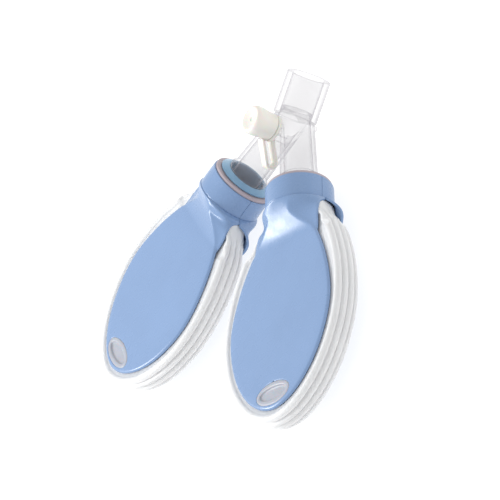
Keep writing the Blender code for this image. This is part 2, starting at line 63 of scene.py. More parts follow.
# Clear Y connector.
LIMB_SPREAD = math.radians(33.5)
LIMB_R_TOP = 8.2
LIMB_R_END = 9.4
LIMB_BORE_TOP = 6.4
LIMB_BORE_END = 7.6
LIMB_END = 56.0
HEM_R = 10.4
HEM_LOW = 41.3
HEM_LENGTH = 2.2
SHOULDER_Y = -3.3
SPIGOT_R = 7.9
SPIGOT_BORE_R = 6.2
SPIGOT_TOP = 1.0
NOZZLE_R = 11.0
NOZZLE_BORE_R = 8.2
NOZZLE_BOTTOM = -3.0
NOZZLE_TOP = 18.5
PORT_Y = -12.0
PORT_BOSS_R = 5.0
PORT_BOSS_TOP = 9.2
PORT_STUB_R = 3.2
PORT_STUB_TOP = 17.5
PORT_BORE_R = 2.0
NUB_R = 1.3
NUB_REACH = 12.2
NUB_Y = -5.2
NUB_ANGLE = math.radians(-48.0)

# Port cap and its folded tether.
CAP_R = 7.3
CAP_WAIST_R = 6.8
CAP_TOP = 24.0
CAP_BASE = 11.5
CAP_SOCKET_R = 3.5
CAP_CEILING = 18.1
TETHER_RING_R = 6.8
STRAP_WIDTH = 4.6
STRAP_THICKNESS = 2.0
STRAP_COLUMNS = 24
STRAP_LENGTH = 14.5
STRAP_LOOP_R = 2.6
STRAP_START = Vector((-17.0, 15.1))
STRAP_SLOPE = math.radians(33.0)

# Bellows unit.
RIM_DISTANCE = 46.2
BODY_BEND = math.radians(8.4)
BEND_START = 4.0
BEND_END = 24.0
COLLAR_R = 16.5
COLLAR_END = 12.0
FLARE_SIDE_START = 11.2
FLARE_POWER = 1.7
FLARE_SIDE_POWER = 0.35
REAR_SIDE_BULGE = 5.0
SQUARENESS_PLATE = 6.0
PARTING_HALF_GAP = 0.15
ARCH_APEX = 13.0
ARCH_LENGTH = 7.5
CREASE = 30.5
PLATE_CENTRE = 67.5
PLATE_LOWER = 47.4
PLATE_UPPER = 57.0
PLATE_OUTLINE = (36.2, 1.6, 1.86)
BAG_OUTLINE = (37.7, 1.86, 1.86)
PLATE_FACE = 7.45
SHELL_WALL = 1.2
EDGE_ROUND = 1.3
GROOVE_V = 11.5
GROOVE_DEPTH = 0.45
GROOVE_SPREAD = 0.32
WINDOW_CENTRE = 106.9
WINDOW_HALF_WIDTH = 12.2
WINDOW_LOWER = 6.1
WINDOW_UPPER = 5.8

# Ribbed bag.  The profile has the offset out from the bag's outline, and the height, from face to middle.
BAG_PROFILE = ((0.3, 5.6), (1.4, 6.45), (2.7, 6.55), (4.1, 5.6), (4.4, 4.4), (3.5, 3.5),
               (5.0, 2.6), (5.1, 1.1), (4.1, 0.0))
BAG_FACE = 5.5
BAG_INSET = 8.0
BAG_FACE_END = 88.0
BAG_INSET_END = 100.0
BAG_TIP_EXTRA = 1.2
BAG_WALL = 0.5
BAG_TOP = 5.0
BAG_CLEARANCE = 0.8
BAG_HEADROOM = 2.4
BAG_SIDE_BULGE = 3.0
BAG_SEAM_HEIGHT = 0.02
BAG_MIDDLE_V = 60.0
BAG_OUTLINE_TOP = 14.0
BAG_RIB_COUNT = 90
ARCH_CLEARANCE = 0.8

# Where the bag changes from the round throat to the pleated outline, as v ranges.
THROAT_FADE = (13.5, 23.0)
PLEAT_FADE = (15.0, 27.0)
OUTLINE_FADE = (23.0, 29.0)
TURN_START = 20.0

TUBE_LOW, TUBE_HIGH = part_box("nozzle_tube")
JUNCTION = Vector((0, TUBE_HIGH.y / MM - NOZZLE_TOP, (TUBE_LOW.z + TUBE_HIGH.z) / 2 / MM))


# Small helpers -------------------------------------------------------------

def smoothstep(value, start, end):
    t = min(1.0, max(0.0, (value - start) / (end - start)))
    return t * t * (3 - 2 * t)


def mix(a, b, t):
    return a + (b - a) * t


def signed_power(value, power):
    return math.copysign(abs(value) ** power, value)


def unit_point(side, u, v, w):
    """A point of a bellows unit, in metres in the CAD frame."""
    bend = -side * BODY_BEND * smoothstep(v, BEND_START, BEND_END)
    x = side * u
    y = -v
    turned = Vector((x * math.cos(bend) - y * math.sin(bend), x * math.sin(bend) + y * math.cos(bend)))
    turned.y -= RIM_DISTANCE
    spread = side * LIMB_SPREAD
    return MM * (JUNCTION + Vector((
        turned.x * math.cos(spread) - turned.y * math.sin(spread),
        turned.x * math.sin(spread) + turned.y * math.cos(spread),
        w,
    )))


def finish_mesh(name, bm, material, angle=40.0):
    """A named object, smooth except at edges sharper than the angle."""
    bmesh.ops.remove_doubles(bm, verts=bm.verts[:], dist=1e-7)
    bmesh.ops.recalc_face_normals(bm, faces=bm.faces[:])
    mesh = bpy.data.meshes.new(name)
    bm.to_mesh(mesh)
    bm.free()
    mesh.shade_smooth()
    mesh.set_sharp_from_angle(angle=math.radians(angle))
    mesh.materials.append(material)
    obj = bpy.data.objects.new(name, mesh)
    bpy.context.scene.collection.objects.link(obj)
    return obj


def bridge(bm, loops, closed):
    """Faces between each loop of points and the next; points that meet are used once."""
    for first, second in zip(loops, loops[1:]):
        count = len(first)
        for i in range(count if closed else count - 1):
            j = (i + 1) % count
            corners = []
            for vert in (first[i], first[j], second[j], second[i]):
                if vert not in corners:
                    corners.append(vert)
            if len(corners) > 2:
                bm.faces.new(corners)


def lathe(profile, segments=96, closed=True):
    """Turn (radius, height) points about the local Z axis; closed profiles make rings."""
    bm = bmesh.new()
    loops = []
    for radius, height in profile:
        loop = []
        for i in range(segments):
            angle = math.tau * i / segments
            loop.append(bm.verts.new((radius * math.cos(angle), radius * math.sin(angle), height)))
        loops.append(loop)
    if closed:
        loops.append(loops[0])
    bridge(bm, loops, True)
    if not closed:
        bm.faces.new(loops[0])
        bm.faces.new(loops[-1])
    return bm


def rounded(profile, radius, steps=4, closed=True):
    """Replace each corner of a (radius, height) outline by a small arc."""
    points = [Vector(p) for p in profile]
    count = len(points)
    result = []
    for i, point in enumerate(points):
        if not closed and i in (0, count - 1):
            result.append(tuple(point))
            continue
        before = points[i - 1] - point
        after = points[(i + 1) % count] - point
        reach = min(radius, 0.45 * before.length, 0.45 * after.length)
        start = point + before.normalized() * reach
        end = point + after.normalized() * reach
        for k in range(steps + 1):
            t = k / steps
            result.append(tuple(start * (1 - t) ** 2 + point * 2 * t * (1 - t) + end * t * t))
    return result


def axis_matrix(origin, direction):
    """Places local +Z along a direction; origin in junction millimetres, result in metres."""
    turn = Vector(direction).to_track_quat('Z', 'Y').to_matrix().to_4x4()
    return Matrix.Translation(MM * (JUNCTION + Vector(origin))) @ turn @ Matrix.Scale(MM, 4)


def thicken(bm, wall, bulge, steps=5):
    """Give an open surface a wall and round lips along all its open edges."""
    bmesh.ops.remove_doubles(bm, verts=bm.verts[:], dist=1e-7)
    bm.normal_update()
    outer = bm.verts[:]
    outer_faces = bm.faces[:]
    border = {}
    for edge in bm.edges:
        if len(edge.link_faces) == 1:
            face = edge.link_faces[0]
            loop = next(l for l in face.loops if l.edge == edge)
            border[loop.vert] = loop.link_loop_next.vert
    normals = {v: v.normal.copy() for v in outer}
    inner = {v: bm.verts.new(v.co - normals[v] * wall * MM) for v in outer}
    bm.verts.index_update()
    for face in outer_faces:
        bm.faces.new([inner[v] for v in reversed(face.verts)])
    before = {b: a for a, b in border.items()}
    lips = {}
    for vert, after in border.items():
        along = (after.co - before[vert].co).normalized()
        out = along.cross(normals[vert]).normalized()
        middle = (vert.co + inner[vert].co) / 2
        half = (vert.co - inner[vert].co) / 2
        lip = [vert]
        for k in range(1, steps):
            a = math.pi * k / steps
            reach = out * math.sin(a) * bulge(vert) * MM
            lip.append(bm.verts.new(middle + half * math.cos(a) + reach))
        lip.append(inner[vert])
        lips[vert] = lip
    for vert, after in border.items():
        bridge(bm, [lips[vert], lips[after]], False)
    return bm


# Materials -----------------------------------------------------------------

class Look:
    """A Principled material with object-space noise for colour, roughness and bump."""

    def __init__(self, name, colour, roughness, **sockets):
        self.material = bpy.data.materials.new(name)
        self.material.use_nodes = True
        self.nodes = self.material.node_tree.nodes
        self.links = self.material.node_tree.links
        self.shader = self.nodes["Principled BSDF"]
        self.place = self.nodes.new("ShaderNodeTexCoord").outputs["Object"]
        self.colour = colour
        self.roughness = roughness
        self.shader.inputs["Base Color"].default_value = (*colour, 1)
        self.shader.inputs["Roughness"].default_value = roughness
        for socket, value in sockets.items():
            self.shader.inputs[socket.replace("_", " ")].default_value = value

    def noise(self, scale, detail=3.0):
        texture = self.nodes.new("ShaderNodeTexNoise")
        texture.inputs["Scale"].default_value = scale
        texture.inputs["Detail"].default_value = detail
        self.links.new(self.place, texture.inputs["Vector"])
        return texture.outputs["Fac"]

    def ramp(self, factor, stops):
        ramp = self.nodes.new("ShaderNodeValToRGB")
        ramp.color_ramp.elements[0].position = stops[0][0]
        ramp.color_ramp.elements[0].color = (*stops[0][1], 1)
        ramp.color_ramp.elements[1].position = stops[-1][0]
        ramp.color_ramp.elements[1].color = (*stops[-1][1], 1)
        for position, colour in stops[1:-1]:
            ramp.color_ramp.elements.new(position).color = (*colour, 1)
        self.links.new(factor, ramp.inputs["Fac"])
        return ramp.outputs["Color"]

    def vary_colour(self, factor, amount):
        darker = tuple(c * (1 - amount) for c in self.colour)
        lighter = tuple(min(1.0, c * (1 + amount)) for c in self.colour)
        colour = self.ramp(factor, ((0.3, darker), (0.5, self.colour), (0.7, lighter)))
        self.links.new(colour, self.shader.inputs["Base Color"])

    def vary_roughness(self, factor, amount):
        spread = self.nodes.new("ShaderNodeMapRange")
        spread.inputs["From Min"].default_value = 0.3
        spread.inputs["From Max"].default_value = 0.7
        spread.inputs["To Min"].default_value = self.roughness - amount
        spread.inputs["To Max"].default_value = self.roughness + amount
        self.links.new(factor, spread.inputs["Value"])
        self.links.new(spread.outputs["Result"], self.shader.inputs["Roughness"])

    def bump(self, factor, height_mm):
        node = self.nodes.new("ShaderNodeBump")
        node.inputs["Strength"].default_value = 1.0
        node.inputs["Distance"].default_value = height_mm * MM
        self.links.new(factor, node.inputs["Height"])
        self.links.new(node.outputs["Normal"], self.shader.inputs["Normal"])

    def clear_alpha(self, facing, grazing, start, end):
        """More see-through where a clear wall is met square on."""
        weight = self.nodes.new("ShaderNodeLayerWeight")
        weight.inputs["Blend"].default_value = 0.5
        spread = self.nodes.new("ShaderNodeMapRange")
        spread.interpolation_type = 'SMOOTHSTEP'
        spread.inputs["From Min"].default_value = start
        spread.inputs["From Max"].default_value = end
        spread.inputs["To Min"].default_value = facing
        spread.inputs["To Max"].default_value = grazing
        self.links.new(weight.outputs["Facing"], spread.inputs["Value"])
        self.links.new(spread.outputs["Result"], self.shader.inputs["Alpha"])


def shell_look():
    look = Look("blue_shell_plastic", (0.198, 0.308, 0.515), 0.27, Specular_IOR_Level=0.5)
    look.vary_colour(look.noise(35.0), 0.03)
    look.vary_roughness(look.noise(220.0), 0.05)
    look.bump(look.noise(2600.0, 2.0), 0.002)
    return look.material


def bag_look():
    look = Look("white_bag_silicone", (0.87, 0.86, 0.865), 0.42,
                Subsurface_Weight=0.5, Subsurface_Scale=0.004)
    look.shader.inputs["Subsurface Radius"].default_value = (1.0, 0.9, 0.85)
    look.vary_colour(look.noise(60.0, 4.0), 0.02)
    look.vary_roughness(look.noise(300.0), 0.06)
    look.bump(look.noise(900.0, 3.0), 0.01)
    return look.material


def seal_look():
    look = Look("grey_seal_rubber", (0.42, 0.36, 0.39), 0.5)
    look.vary_colour(look.noise(200.0), 0.06)
    look.vary_roughness(look.noise(500.0), 0.08)
    look.bump(look.noise(1500.0), 0.012)
    return look.material


def adapter_look():
    look = Look("light_blue_plastic", (0.26, 0.46, 0.66), 0.22)
    look.vary_colour(look.noise(120.0), 0.05)
    look.vary_roughness(look.noise(400.0), 0.05)
    look.bump(look.noise(1200.0), 0.004)
    look.clear_alpha(0.75, 0.95, 0.2, 0.8)
    return look.material


def stud_painted_shade_look():
    # Painted shade: the stud is the bag's white silicone, coloured grey to stand in for the shade inside the
    # plate's window.
    look = Look("stud_rubber_painted_shade", (0.374, 0.392, 0.446), 0.4, Subsurface_Weight=0.2, Subsurface_Scale=0.002)
    look.vary_colour(look.noise(150.0), 0.04)
    look.vary_roughness(look.noise(400.0), 0.06)
    look.bump(look.noise(1500.0), 0.006)
    return look.material


def clear_look():
    look = Look("clear_plastic", (0.50, 0.485, 0.52), 0.06, Specular_IOR_Level=0.6)
    look.vary_colour(look.noise(50.0), 0.015)
    look.vary_roughness(look.noise(200.0), 0.02)
    look.bump(look.noise(260.0, 2.0), 0.01)
    look.clear_alpha(0.13, 0.65, 0.4, 0.9)
    return look.material


def cap_look():
    look = Look("white_cap_plastic", (0.80, 0.785, 0.73), 0.36, Subsurface_Weight=0.3, Subsurface_Scale=0.002)
    look.vary_colour(look.noise(150.0), 0.02)
    look.vary_roughness(look.noise(500.0), 0.06)
    look.bump(look.noise(1300.0), 0.008)
    return look.material


# Bellows unit: outlines and sections ----------------------------------------

def outline_half(v, outline):
    """Half width, half length and squareness of the part of an outline that v is in."""
    half_width, upper, lower = outline
    if v < PLATE_CENTRE:
        return half_width, PLATE_UPPER, upper
    return half_width, PLATE_LOWER, lower


def outline_half_width(v, outline):
    """Half width of an outline at v."""
    half_width, semi, squareness = outline_half(v, outline)
    share = min(1.0, abs(v - PLATE_CENTRE) / semi)
    return half_width * (1 - share ** squareness) ** (1 / squareness)


def outline_point(angle, outline):
    """Outline point and its outward normal; angle -90 is the top and 90 the tip."""
    across = math.cos(angle)
    along = math.sin(angle)
    half_width, semi, squareness = outline_half(PLATE_CENTRE + along, outline)
    power = 2 / squareness
    point = Vector((
        half_width * signed_power(across, power),
        PLATE_CENTRE + semi * signed_power(along, power),
    ))
    slope_power = power * (squareness - 1)
    normal = Vector((
        signed_power(across, slope_power) / half_width,
        signed_power(along, slope_power) / semi,
    ))
    return point, normal.normalized()


def outline_angle(v, outline):
    """Angle at which outline_point is level with v."""
    half_width, semi, squareness = outline_half(v, outline)
    return math.asin(signed_power((v - PLATE_CENTRE) / semi, squareness / 2))


def flare_share(v):
    """How far v is along the sides' flare, from 0 to 1."""
    return min(1.0, max(0.0, (v - FLARE_SIDE_START) / (CREASE - FLARE_SIDE_START)))


def shell_section(v, facing=1):
    """Half width, half height and squareness of a shell's outside at v; the rear one is wider."""
    side_t = flare_share(v)
    face_t = min(1.0, max(0.0, (v - COLLAR_END) / (CREASE - COLLAR_END)))
    crease_half_width = outline_half_width(CREASE, PLATE_OUTLINE)
    half_width = COLLAR_R + (crease_half_width - COLLAR_R) * side_t ** FLARE_SIDE_POWER
    if facing < 0:
        half_width += REAR_SIDE_BULGE * math.sin(math.pi * side_t)
    half_height = PLATE_FACE + (COLLAR_R - PLATE_FACE) * (1 - face_t) ** FLARE_POWER
    return half_width, half_height, 2 + (SQUARENESS_PLATE - 2) * face_t


def arch_height(v):
    """Height of the shell's lower edge above the middle plane."""
    t = min(1.0, max(0.0, 1 - (v - ARCH_APEX) / ARCH_LENGTH))
    return max(PARTING_HALF_GAP, (PLATE_FACE - EDGE_ROUND) * math.sqrt(1 - t * t))


def stations(fine, start, end, count):
    """Evenly spaced values from start to end, with the fine ones added."""
    values = [start + (end - start) * i / count for i in range(count + 1)]
    return sorted(set([round(v, 4) for v in values] + [v for v in fine if start <= v <= end]))


# Blue shells ------------------------------------------------------------------

SHELL_COLUMNS = 34
EDGE_COLUMNS = 8
INNER_RISE_START = 60.0
WINDOW_START = 92.0
TONGUE_START = 11.8
TONGUE_END = 18.0
TONGUE_WIDEN_START = 14.0
TONGUE_HALF_WIDTH = 6.0
TONGUE_SHARE = 0.93
TONGUE_WIDEN_POWER = 1.2
FLANK_POWER = 2.1
FLANK_HOLLOW = 0.25
TONGUE_CROWN = 0.03
TONGUE_WEIGHT = 0.85
FACE_CROWN = 0.10
FACE_CROWN_WIDTH = 4.0
RIB_COUNT = 76


def neck_rib(v, facing):
    """Half section of the neck from its lower edge to the ridge, as (u, w) points.

    The round collar turns into a raised tongue with hollow flanks, which spreads out
    into the plate.
    """
    half_width, half_height, squareness = shell_section(v, facing)
    groove = GROOVE_DEPTH * math.exp(-((v - GROOVE_V) / GROOVE_SPREAD) ** 2)
    half_width -= groove
    half_height -= groove
    edge = arch_height(v)
    start = math.asin(min(1.0, edge / half_height) ** (squareness / 2))
    widening = smoothstep(v, TONGUE_WIDEN_START, CREASE) ** TONGUE_WIDEN_POWER
    tongue_half = mix(TONGUE_HALF_WIDTH, TONGUE_SHARE * half_width, widening)
    weight = TONGUE_WEIGHT * smoothstep(v, TONGUE_START, TONGUE_END)
    points = []
    for k in range(SHELL_COLUMNS + 1):
        angle = start + (math.pi / 2 - start) * k / SHELL_COLUMNS
        u = half_width * abs(math.cos(angle)) ** (2 / squareness)
        w = half_height * math.sin(angle) ** (2 / squareness)
        flat_u = half_width * (1 - k / SHELL_COLUMNS)
        ramp = max(0.0, (flat_u - tongue_half) / (half_width - tongue_half))
        fall = mix(1 - (1 - ramp) ** FLANK_POWER, ramp ** 2, FLANK_HOLLOW)
        crown = TONGUE_CROWN * half_height * (flat_u / half_width) ** 2
        flat_w = mix(half_height - crown, edge, fall)
        points.append((mix(u, flat_u, weight), mix(w, flat_w, weight)))
    return points


def plate_height(distance):
    """Height of the plate's rounded edge at a distance in from the outline."""
    if distance >= EDGE_ROUND:
        return PLATE_FACE - FACE_CROWN * max(0.0, 1 - (distance - EDGE_ROUND) / FACE_CROWN_WIDTH) ** 2
    rest = 1 - distance / EDGE_ROUND
    drop = (EDGE_ROUND - FACE_CROWN) * (1 - math.sqrt(max(0.0, 1 - rest * rest)))
    return PLATE_FACE - FACE_CROWN - drop


def edge_distance(k):
    """Distance in from the outline of the k-th point round the plate's edge."""
    angle = math.pi / 2 * k / (EDGE_COLUMNS - 1)
    return EDGE_ROUND * (1 - math.cos(angle))


def plate_rib(edge, normal, inner):
    """Points from the plate's outline in to the ridge or the window."""
    points = []
    rounded_end = edge - normal * EDGE_ROUND
    for k in range(SHELL_COLUMNS + 1):
        if k < EDGE_COLUMNS:
            distance = edge_distance(k)
            plan = edge - normal * distance
        else:
            t = (k - EDGE_COLUMNS + 1) / (SHELL_COLUMNS - EDGE_COLUMNS + 1)
            plan = rounded_end.lerp(inner, t)
            distance = EDGE_ROUND + (inner - rounded_end).length * t
        points.append((plan.x, plan.y, plate_height(distance)))
    return points


def window_point(angle, growth=0.0):
    """Point on the window's oval, with the oval grown outward by an amount."""
    semi = (WINDOW_LOWER if math.sin(angle) > 0 else WINDOW_UPPER) + growth
    return Vector(((WINDOW_HALF_WIDTH + growth) * math.cos(angle), WINDOW_CENTRE + semi * math.sin(angle)))


def shell_ribs(facing):
    """All ribs of one half of a shell, from the collar's rim round to the plate's tip."""
    ribs = []
    fine = [0.25, 0.6] + [GROOVE_V + 0.16 * i for i in range(-5, 6)] + [12.9, 13.05, 13.2, 13.5]
    for v in stations(fine, 0.0, CREASE + 1.0, 44):
        neck = [(u, v, w) for u, w in neck_rib(min(v, CREASE), facing)]
        change = smoothstep(v, CREASE - 2.2, CREASE + 0.7)
        if change > 0:
            edge, normal = outline_point(outline_angle(v, PLATE_OUTLINE), PLATE_OUTLINE)
            flat = plate_rib(edge, Vector((1, 0)).lerp(normal, change).normalized(), Vector((0, v)))
            neck = [tuple(mix(a, b, change) for a, b in zip(p, q)) for p, q in zip(neck, flat)]
        ribs.append(neck)
    first = outline_angle(CREASE + 1.0, PLATE_OUTLINE)
    window_first = outline_angle(WINDOW_START, PLATE_OUTLINE)
    for i in range(1, RIB_COUNT + 1):
        angle = first + (math.pi / 2 - first) * i / RIB_COUNT
        edge, normal = outline_point(angle, PLATE_OUTLINE)
        if angle < window_first:
            rise = WINDOW_CENTRE - WINDOW_UPPER - WINDOW_START
            inner = Vector((0, edge.y + rise * smoothstep(edge.y, INNER_RISE_START, WINDOW_START)))
        else:
            share = (angle - window_first) / (math.pi / 2 - window_first)
            inner = window_point(math.pi * (share - 0.5))
        if angle > math.pi / 2 - 1e-6:
            edge.x = inner.x = normal.x = 0.0
        ribs.append(plate_rib(edge, normal, inner))
    return ribs


def face_outwards(bm, target, facing):
    """Close a surface's seams and turn its faces so that the one nearest the target faces out."""
    bmesh.ops.remove_doubles(bm, verts=bm.verts[:], dist=1e-6)
    bmesh.ops.recalc_face_normals(bm, faces=bm.faces[:])
    probe = min(bm.faces, key=lambda face: (face.calc_center_median() - target).length)
    if probe.normal.z * facing < 0:
        bmesh.ops.reverse_faces(bm, faces=bm.faces[:])


def shell(word, side, face, facing, material):
    """One moulded shell: half collar, flare, crease and plate with its window."""
    bm = bmesh.new()
    ribs = shell_ribs(facing)
    for mirror in (1, -1):
        rows = [
            [bm.verts.new(unit_point(side, mirror * u, v, facing * w)) for u, v, w in rib]
            for rib in ribs
        ]
        bridge(bm, rows, False)
    face_outwards(bm, unit_point(side, 0, 60, facing * PLATE_FACE), facing)
    parting_z = unit_point(side, 0, ARCH_APEX, 0).z

    def bulge(vert):
        near_parting = abs(vert.co.z - parting_z) < 0.4 * MM
        return 0.12 if near_parting else 0.35

    thicken(bm, SHELL_WALL, bulge)
    obj = finish_mesh(f"{word}_{face}_shell", bm, material, 55.0)
    unit_point(side, 0, CREASE - 3, facing * PLATE_FACE)
    unit_point(side, 0, CREASE + 3, facing * PLATE_FACE)
    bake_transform(obj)
    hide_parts(f"{word}_{face}_neck_shell", f"{word}_{face}_plate")
    return obj


# Ribbed bags --------------------------------------------------------------------

def spline(points, steps):
    """Smooth curve through the points (Catmull-Rom)."""
    control = [Vector(p) for p in points]
    control = [2 * control[0] - control[1]] + control + [2 * control[-1] - control[-2]]
    result = []
    for i in range(1, len(control) - 2):
        a, b, c, d = control[i - 1:i + 3]
        for k in range(steps):
            t = k / steps
            result.append(0.5 * (2 * b + (c - a) * t + (2 * a - 5 * b + 4 * c - d) * t ** 2
                                 + (3 * b - a - 3 * c + d) * t ** 3))
    result.append(control[-2])
    return result


def pleat_scale(v):
    """Shrinks the pleats' height where they run in under the arch."""
    under_arch = max(0.3, (arch_height(v) - 0.7) / 6.7)
    blend = smoothstep(v, CREASE - 4, CREASE + 2)
    return mix(under_arch, 1.0, blend)


def bag_room(u, v, facing):
    """Height the bag may reach at the point u, v without touching the neck shell."""
    section = neck_rib(min(v, CREASE), facing)
    if u >= section[0][0] - SHELL_WALL:
        return arch_height(v) - ARCH_CLEARANCE
    for (u_outer, w_outer), (u_inner, w_inner) in zip(section, section[1:]):
        if u >= u_inner:
            return mix(w_inner, w_outer, (u - u_inner) / max(1e-6, u_outer - u_inner)) - BAG_HEADROOM
    return section[-1][1] - BAG_HEADROOM


def throat_section(v):
    """Half width, half height and squareness of the bag where it runs up inside the neck."""
    half_width, half_height, squareness = shell_section(min(v, CREASE))
    spare = SHELL_WALL + BAG_CLEARANCE
    bulge = BAG_SIDE_BULGE * math.sin(math.pi * flare_share(v))
    return half_width - spare + bulge, half_height - spare, squareness


def bag_ribs(facing):
    """Half of the bag, from inside the collar round to its tip; u, v, w points."""
    curve = spline(BAG_PROFILE, 7)
    ribs = []
    places = []
    for v in stations([], BAG_TOP, CREASE, 40):
        base = mix(throat_section(v)[0], outline_half_width(v, BAG_OUTLINE), smoothstep(v, *OUTLINE_FADE))
        place = Vector((base, v))
        normal = outline_point(outline_angle(max(v, BAG_OUTLINE_TOP), BAG_OUTLINE), BAG_OUTLINE)[1]
        normal = Vector((1, 0)).lerp(normal, smoothstep(v, TURN_START, CREASE))
        places.append((place, normal.normalized(), 0.0))
    first = outline_angle(CREASE, BAG_OUTLINE)
    for i in range(1, BAG_RIB_COUNT + 1):
        angle = first + (math.pi / 2 - first) * i / BAG_RIB_COUNT
        place, normal = outline_point(angle, BAG_OUTLINE)
        if i == BAG_RIB_COUNT:
            place.x = normal.x = 0.0
        places.append((place, normal, BAG_TIP_EXTRA * max(0.0, math.sin(angle)) ** 2))
    for place, normal, extra in places:
        depth = smoothstep(place.y, *PLEAT_FADE)
        height = pleat_scale(place.y)
        throat = 1 - smoothstep(place.y, *THROAT_FADE)
        wide, tall, squareness = throat_section(place.y)
        rib = [Vector((0, min(place.y, BAG_FACE_END), mix(BAG_FACE * height, tall, throat)))]
        inset = place - normal * BAG_INSET
        if inset.x < 0:
            inset = Vector((0, min(inset.y, BAG_INSET_END)))
        rib.append(Vector((inset.x, inset.y, BAG_FACE * height)))
        for point in curve:
            offset = (point.x + extra) * depth if place.y < CREASE else point.x + extra
            plan = place + normal * offset
            rib.append(Vector((plan.x, plan.y, point.y * height)))
        total = len(rib)
        for j, point in enumerate(rib):
            angle = math.pi / 2 * (1 - j / (total - 1))
            round_u = wide * math.cos(angle) ** (2 / squareness) if j else 0.0
            round_w = tall * math.sin(angle) ** (2 / squareness) if j < total - 1 else 0.0
            rib[j] = point.lerp(Vector((round_u, point.y, round_w)), throat)
        if place.y < CREASE + 1:
            for point in rib:
                point.z = min(point.z, max(BAG_SEAM_HEIGHT, bag_room(point.x, place.y, facing)))
        ribs.append(rib)
    return ribs


def bag_half(word, side, face, facing, material):
    """Front or rear half of the bag; both halves meet at the middle seam."""
    bm = bmesh.new()
    ribs = bag_ribs(facing)
    for mirror in (1, -1):
        rows = [
            [bm.verts.new(unit_point(side, mirror * u, v, facing * max(w, BAG_SEAM_HEIGHT)))
             for u, v, w in rib]
            for rib in ribs
        ]
        bridge(bm, rows, False)
    face_outwards(bm, unit_point(side, 20, BAG_MIDDLE_V, facing * 5.6), facing)
    thicken(bm, BAG_WALL, lambda vert: 0.02, 2)
    obj = finish_mesh(f"{word}_bag_{face}_half", bm, material, 60.0)
    unit_point(side, 0, BAG_MIDDLE_V, 0)
    unit_point(side, 0, BAG_MIDDLE_V, facing * 5.7)
    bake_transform(obj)
    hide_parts(f"{word}_bellows")
    return obj


# Studs, seal and adapter rings --------------------------------------------------

# Growth from the window's oval, and height from the plate's face, from below up and in.
STUD_PROFILE = ((-0.25, -1.35), (-0.22, -0.45), (-0.35, -0.16), (-0.7, 0.0), (-1.2, 0.06), (-1.9, 0.04),
                (-2.45, -0.06), (-2.75, -0.3), (-2.95, -0.6), (-3.2, -0.78), (-3.7, -0.85), (-4.5, -0.88))

# (radius, height along the collar's axis from its rim) outlines of the two rings.
SEAL_PROFILE = ((12.1, 1.9), (15.9, 1.9), (15.9, 0.3), (14.5, 0.3), (14.5, -3.0), (12.1, -3.0))
ADAPTER_PROFILE = ((9.8, -9.5), (9.8, 4.3), (10.5, 4.6), (11.2, 4.6), (13.8, 3.1), (13.8, 2.25),
                   (11.75, 2.25), (11.75, -9.5))
RING_SEGMENTS = 128
STUD_SEGMENTS = 72


def stud(word, side, face, facing, material):
    """Oval stud in the plate's window, with a raised rim and a sunken floor."""
    bm = bmesh.new()
    loops = []
    for growth, height in STUD_PROFILE:
        loop = []
        for i in range(STUD_SEGMENTS):
            point = window_point(math.tau * i / STUD_SEGMENTS, growth)
            loop.append(bm.verts.new(unit_point(side, point.x, point.y, facing * (PLATE_FACE + height))))
        loops.append(loop)
    bridge(bm, loops, True)
    bm.faces.new(loops[0])
    bm.faces.new(loops[-1])
    obj = finish_mesh(f"{word}_{face}_stud", bm, material, 50.0)
    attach(obj, f"{word}_{face}_plate")
    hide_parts(f"{word}_{face}_lug")
    return obj


def collar_matrix(side):
    """Local +Z runs from a collar's rim up the limb towards the hub."""
    up = Vector((-side * math.sin(LIMB_SPREAD), math.cos(LIMB_SPREAD), 0))
    return axis_matrix(-up * RIM_DISTANCE, up)


def seal(word, side, material):
    """Soft ring on the collar's rim."""
    bm = lathe(rounded(SEAL_PROFILE, 0.45), RING_SEGMENTS)
    bm.transform(collar_matrix(side))
    obj = finish_mesh(f"{word}_seal", bm, material, 50.0)
    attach(obj, f"{word}_neck")
    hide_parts(f"{word}_seal_ring")
    return obj


def adapter(word, side, material):
    """Flanged sleeve between the limb and the bag's throat."""
    bm = lathe(rounded(ADAPTER_PROFILE, 0.3), RING_SEGMENTS)
    bm.transform(collar_matrix(side))
    obj = finish_mesh(f"{word}_adapter", bm, material, 50.0)
    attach(obj, f"{word}_neck")
    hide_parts(f"{word}_adapter_ring")
    return obj


# Clear connector ------------------------------------------------------------------

def tool(name, bm, matrix):
    """A closed shape for the connector's booleans, at its place."""
    bm.transform(matrix)
    bmesh.ops.recalc_face_normals(bm, faces=bm.faces[:])
    mesh = bpy.data.meshes.new(name)
    bm.to_mesh(mesh)
    bm.free()
    obj = bpy.data.objects.new(name, mesh)
    bpy.context.scene.collection.objects.link(obj)
    return obj


def combine(target, other, operation):
    """Apply an exact boolean to the target and remove the other object."""
    modifier = target.modifiers.new("step", 'BOOLEAN')
    modifier.operation = operation
    modifier.solver = 'EXACT'
    modifier.object = other
    bpy.context.view_layer.update()
    result = bpy.data.meshes.new_from_object(target.evaluated_get(bpy.context.evaluated_depsgraph_get()))
    target.modifiers.clear()
    target.data = result
    bpy.data.objects.remove(other)


def dress(obj, material, angle):
    """Smooth a boolean result except at edges sharper than the angle, and give it its material."""
    obj.data.shade_smooth()
    obj.data.set_sharp_from_angle(angle=math.radians(angle))
    obj.data.materials.clear()
    obj.data.materials.append(material)


def turned_tool(name, profile, origin, direction, segments=72, phase=0.0):
    """A turned solid for the booleans; the phase, in facets, keeps two solids' facets apart."""
    turn = Matrix.Rotation(math.tau * phase / segments, 4, 'Z')
    bm = lathe(profile, segments, closed=False)
    return tool(name, bm, axis_matrix(origin, direction) @ turn)


def limb_direction(side):
    """From the junction down a limb."""
    return Vector((side * math.sin(LIMB_SPREAD), -math.cos(LIMB_SPREAD), 0))


